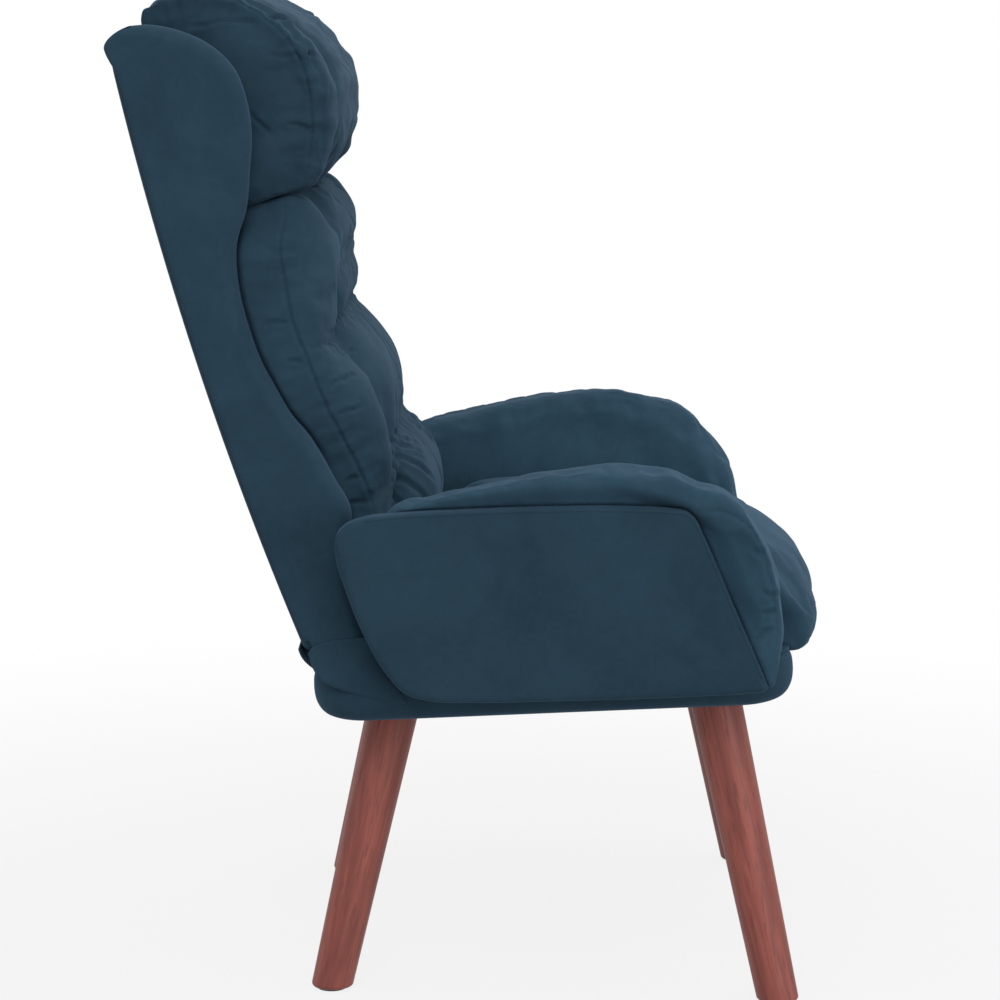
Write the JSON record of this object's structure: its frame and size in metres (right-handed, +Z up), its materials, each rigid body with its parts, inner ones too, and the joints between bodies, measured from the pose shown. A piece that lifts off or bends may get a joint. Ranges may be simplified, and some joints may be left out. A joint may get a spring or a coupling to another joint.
{
  "type": "recliner armchair",
  "caption": "High-back winged armchair with a reclining back, cushioned arms, padded seat and splayed tapered wooden legs.",
  "frame": {"origin": "on the floor, at the middle of the chair's width and depth with the back upright", "axes": "+Z up, -Y the way the sitter faces, +X to the sitter's left"},
  "size_m": [0.69, 0.6931, 1.0001],
  "materials": {
    "velvet": "dark blue velvet",
    "black_cloth": "black non-woven cloth",
    "webbing": "woven elastic webbing",
    "leg_wood": "reddish-brown stain, satin",
    "frame_timber": "plain sawn timber",
    "plywood": "plain plywood",
    "spring_wire": "plain wire",
    "zinc_steel": "zinc plated",
    "glide_plastic": "black nylon"
  },
  "bodies": {
    "base": {"arm_bolts": "zinc_steel", "base_cover": "velvet", "bracket_screws": "zinc_steel", "dust_cover": "black_cloth", "foot_glides": "glide_plastic", "front_left_leg": "leg_wood", "front_leg_board": "plywood", "front_rail": "frame_timber", "front_right_leg": "leg_wood", "hanger_bolts": "zinc_steel", "left_arm_bottom_rail": "frame_timber", "left_arm_cushion": "velvet", "left_arm_front_post": "frame_timber", "left_arm_panel": "velvet", "left_arm_rear_post": "frame_timber", "left_arm_top_rail": "frame_timber", "left_hinge_bracket": "zinc_steel", "left_pawl": "zinc_steel", "left_pawl_pin": "zinc_steel", "left_pawl_spring": "spring_wire", "left_pivot_pin": "zinc_steel", "left_side_rail": "frame_timber", "leg_plates": "zinc_steel", "plate_screws": "zinc_steel", "rear_left_leg": "leg_wood", "rear_leg_board": "plywood", "rear_rail": "frame_timber", "rear_right_leg": "leg_wood", "right_arm_bottom_rail": "frame_timber", "right_arm_cushion": "velvet", "right_arm_front_post": "frame_timber", "right_arm_panel": "velvet", "right_arm_rear_post": "frame_timber", "right_arm_top_rail": "frame_timber", "right_hinge_bracket": "zinc_steel", "right_pawl": "zinc_steel", "right_pawl_pin": "zinc_steel", "right_pawl_spring": "spring_wire", "right_pivot_pin": "zinc_steel", "right_side_rail": "frame_timber", "seat_cushion": "velvet", "seat_deck": "black_cloth", "seat_springs": "spring_wire", "spring_clips": "spring_wire"},
    "backrest": {"back_bottom_rail": "frame_timber", "back_cushion": "velvet", "back_middle_rail": "frame_timber", "back_top_rail": "frame_timber", "back_webbing": "webbing", "head_cushion": "velvet", "hinge_bolts": "zinc_steel", "left_back_stile": "plywood", "left_hinge_plate": "zinc_steel", "left_wing_cover": "velvet", "rear_back_panel": "velvet", "right_back_stile": "plywood", "right_hinge_plate": "zinc_steel", "right_wing_cover": "velvet"}
  },
  "joints": [
    {"name": "back_recline", "type": "hinge", "parent": "base", "child": "backrest", "pos_m": [0, 0.12246, 0.37735], "axis": [-1, 0, 0], "range_deg": [0, 25]}
  ]
}
